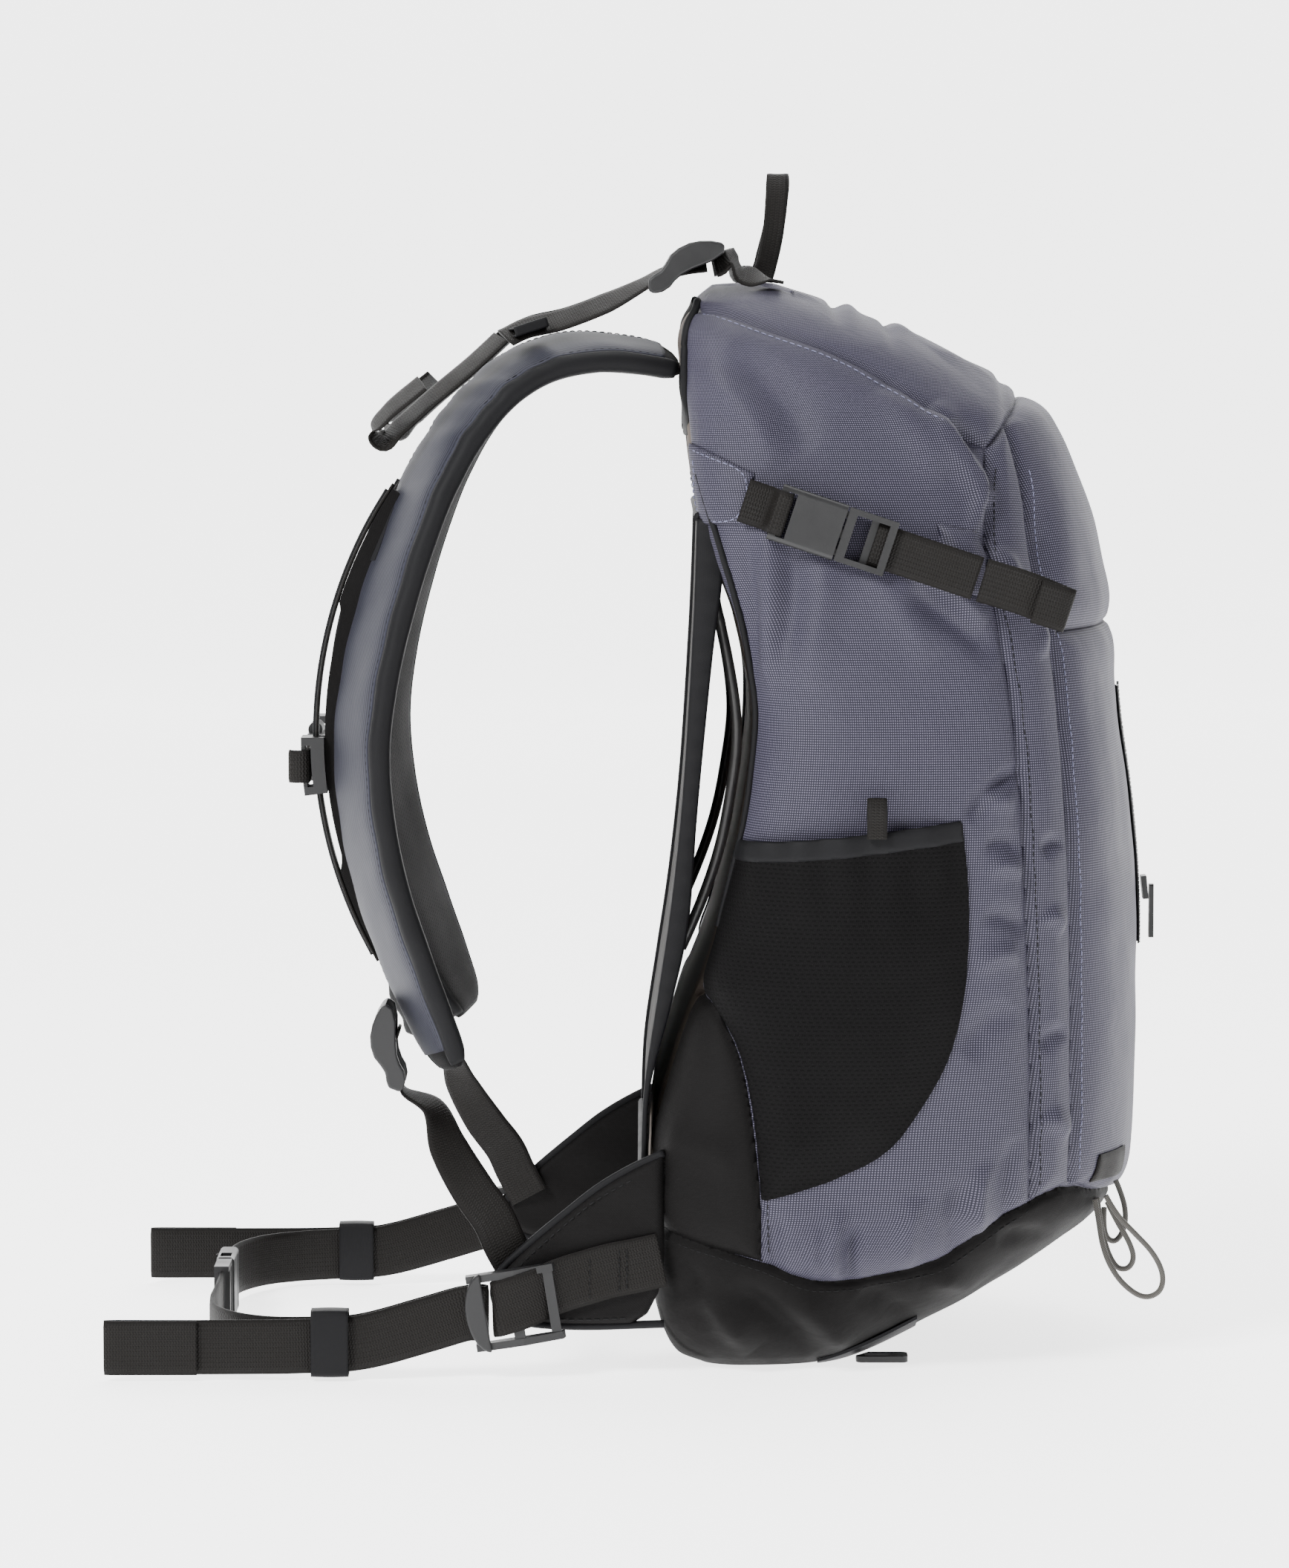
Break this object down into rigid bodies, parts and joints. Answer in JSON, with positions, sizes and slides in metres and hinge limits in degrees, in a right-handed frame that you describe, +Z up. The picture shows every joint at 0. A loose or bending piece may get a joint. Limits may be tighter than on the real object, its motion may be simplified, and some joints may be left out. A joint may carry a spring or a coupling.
{
  "type": "ski backpack",
  "caption": "Day pack with padded shoulder straps, sternum strap, buckled hip belt, side compression straps, suspended mesh back, mesh side pockets and elastic pole loops",
  "frame": {"origin": "middle of the flat the base rests on, on the mid-plane", "axes": "+Z up, -X toward the wearer's back, -Y toward the wearer's left, +X the front of the bag"},
  "size_m": [0.4888, 0.2954, 0.5498],
  "materials": {
    "cloth": "matte",
    "black_cloth": "matte",
    "lining": "matte",
    "mesh": "matte",
    "webbing": "matte",
    "padding": "matte",
    "plastic": "matte",
    "wire": "satin",
    "elastic": "matte"
  },
  "bodies": {
    "bag": {"back_mesh": "mesh", "back_panel": "lining", "base_panel": "black_cloth", "base_strip": "black_cloth", "bottle_pockets": "mesh", "compression_anchors": "cloth", "compression_short_webs": "webbing", "compression_socket_left": "plastic", "compression_socket_right": "plastic", "compression_tabs": "cloth", "compression_webs": "webbing", "corner_panels": "black_cloth", "frame_rod": "wire", "front_pocket": "cloth", "front_zip": "webbing", "gusset_panels": "cloth", "hip_keepers": "webbing", "hip_locks": "plastic", "hip_pad_webs": "webbing", "hip_socket": "plastic", "hip_web_left": "webbing", "hip_web_right": "webbing", "hip_wings": "padding", "lifter_anchors": "webbing", "lifter_keepers": "webbing", "lifter_locks": "plastic", "lifter_webs": "webbing", "lower_locks": "plastic", "lower_webs": "webbing", "mesh_bindings": "mesh", "pocket_pulls": "webbing", "pole_loop_1": "elastic", "pole_loop_2": "elastic", "pole_loop_3": "elastic", "pole_loop_anchor": "webbing", "shoulder_strap_left": "padding", "shoulder_strap_right": "padding", "side_panels": "cloth", "strap_label": "black_cloth", "strap_rails": "webbing", "top_lid": "cloth", "upper_front": "cloth"},
    "comp_plug_left": {"compression_plug_left": "plastic"},
    "comp_plug_right": {"compression_plug_right": "plastic"},
    "comp_tail_left": {"compression_tail_left": "webbing"},
    "comp_tail_right": {"compression_tail_right": "webbing"},
    "lift_tail_left": {"lifter_tail_left": "webbing"},
    "lift_tail_right": {"lifter_tail_right": "webbing"},
    "haul_loop_body": {"haul_loop": "webbing"},
    "sternum_strap": {"sternum_sliders": "plastic", "sternum_web_left": "webbing", "sternum_web_right": "webbing", "sternum_socket": "plastic"},
    "sternum_plug_body": {"sternum_plug": "plastic"},
    "hip_plug_body": {"hip_plug": "plastic"},
    "zip_slider": {"front_zip_slider": "plastic"},
    "zip_pull": {"front_zip_pull": "plastic"},
    "puller": {"base_puller": "plastic"}
  },
  "joints": [
    {"name": "compression_release_left", "type": "slide", "parent": "bag", "child": "comp_plug_left", "axis": [0.9487, -0.0338, -0.3145], "range_m": [0, 0.01]},
    {"name": "compression_release_right", "type": "slide", "parent": "bag", "child": "comp_plug_right", "axis": [0.9487, 0.0338, -0.3145], "range_m": [0, 0.01]},
    {"name": "compression_tail_swing_left", "type": "hinge", "parent": "bag", "child": "comp_tail_left", "pos_m": [0.08212, -0.13323, 0.36575], "axis": [0, 0, -1], "range_deg": [0, 50]},
    {"name": "compression_tail_swing_right", "type": "hinge", "parent": "bag", "child": "comp_tail_right", "pos_m": [0.08212, 0.13323, 0.36575], "axis": [0, 0, 1], "range_deg": [0, 50]},
    {"name": "lifter_tail_swing_left", "type": "hinge", "parent": "bag", "child": "lift_tail_left", "pos_m": [-0.136, -0.0644, 0.4739], "axis": [0, 1, 0], "range_deg": [0, 40]},
    {"name": "lifter_tail_swing_right", "type": "hinge", "parent": "bag", "child": "lift_tail_right", "pos_m": [-0.136, 0.0644, 0.4739], "axis": [0, 1, 0], "range_deg": [0, 40]},
    {"name": "haul_loop_swing", "type": "hinge", "parent": "bag", "child": "haul_loop_body", "pos_m": [-0.015, 0, 0.4988], "axis": [0, 1, 0], "range_deg": [-55, 55]},
    {"name": "sternum_strap_height", "type": "hinge", "parent": "bag", "child": "sternum_strap", "pos_m": [-0.013, 0, 0.29], "axis": [0, 1, 0], "range_deg": [-8, 16]},
    {"name": "sternum_buckle_release", "type": "slide", "parent": "sternum_strap", "child": "sternum_plug_body", "axis": [0, 1, 0], "range_m": [0, 0.01]},
    {"name": "hip_buckle_release", "type": "slide", "parent": "bag", "child": "hip_plug_body", "axis": [0, -1, 0], "range_m": [0, 0.01]},
    {"name": "front_zip_travel", "type": "slide", "parent": "bag", "child": "zip_slider", "axis": [-0.1027, 0, 0.9947], "range_m": [0, 0.08]},
    {"name": "front_zip_pull_swing", "type": "hinge", "parent": "zip_slider", "child": "zip_pull", "pos_m": [0.17048, 0, 0.213], "axis": [0, -1, 0], "range_deg": [0, 80]},
    {"name": "base_puller_swing", "type": "hinge", "parent": "bag", "child": "puller", "pos_m": [0.029, -0.082, 0.0022], "axis": [0, -1, 0], "range_deg": [0, 10]}
  ]
}
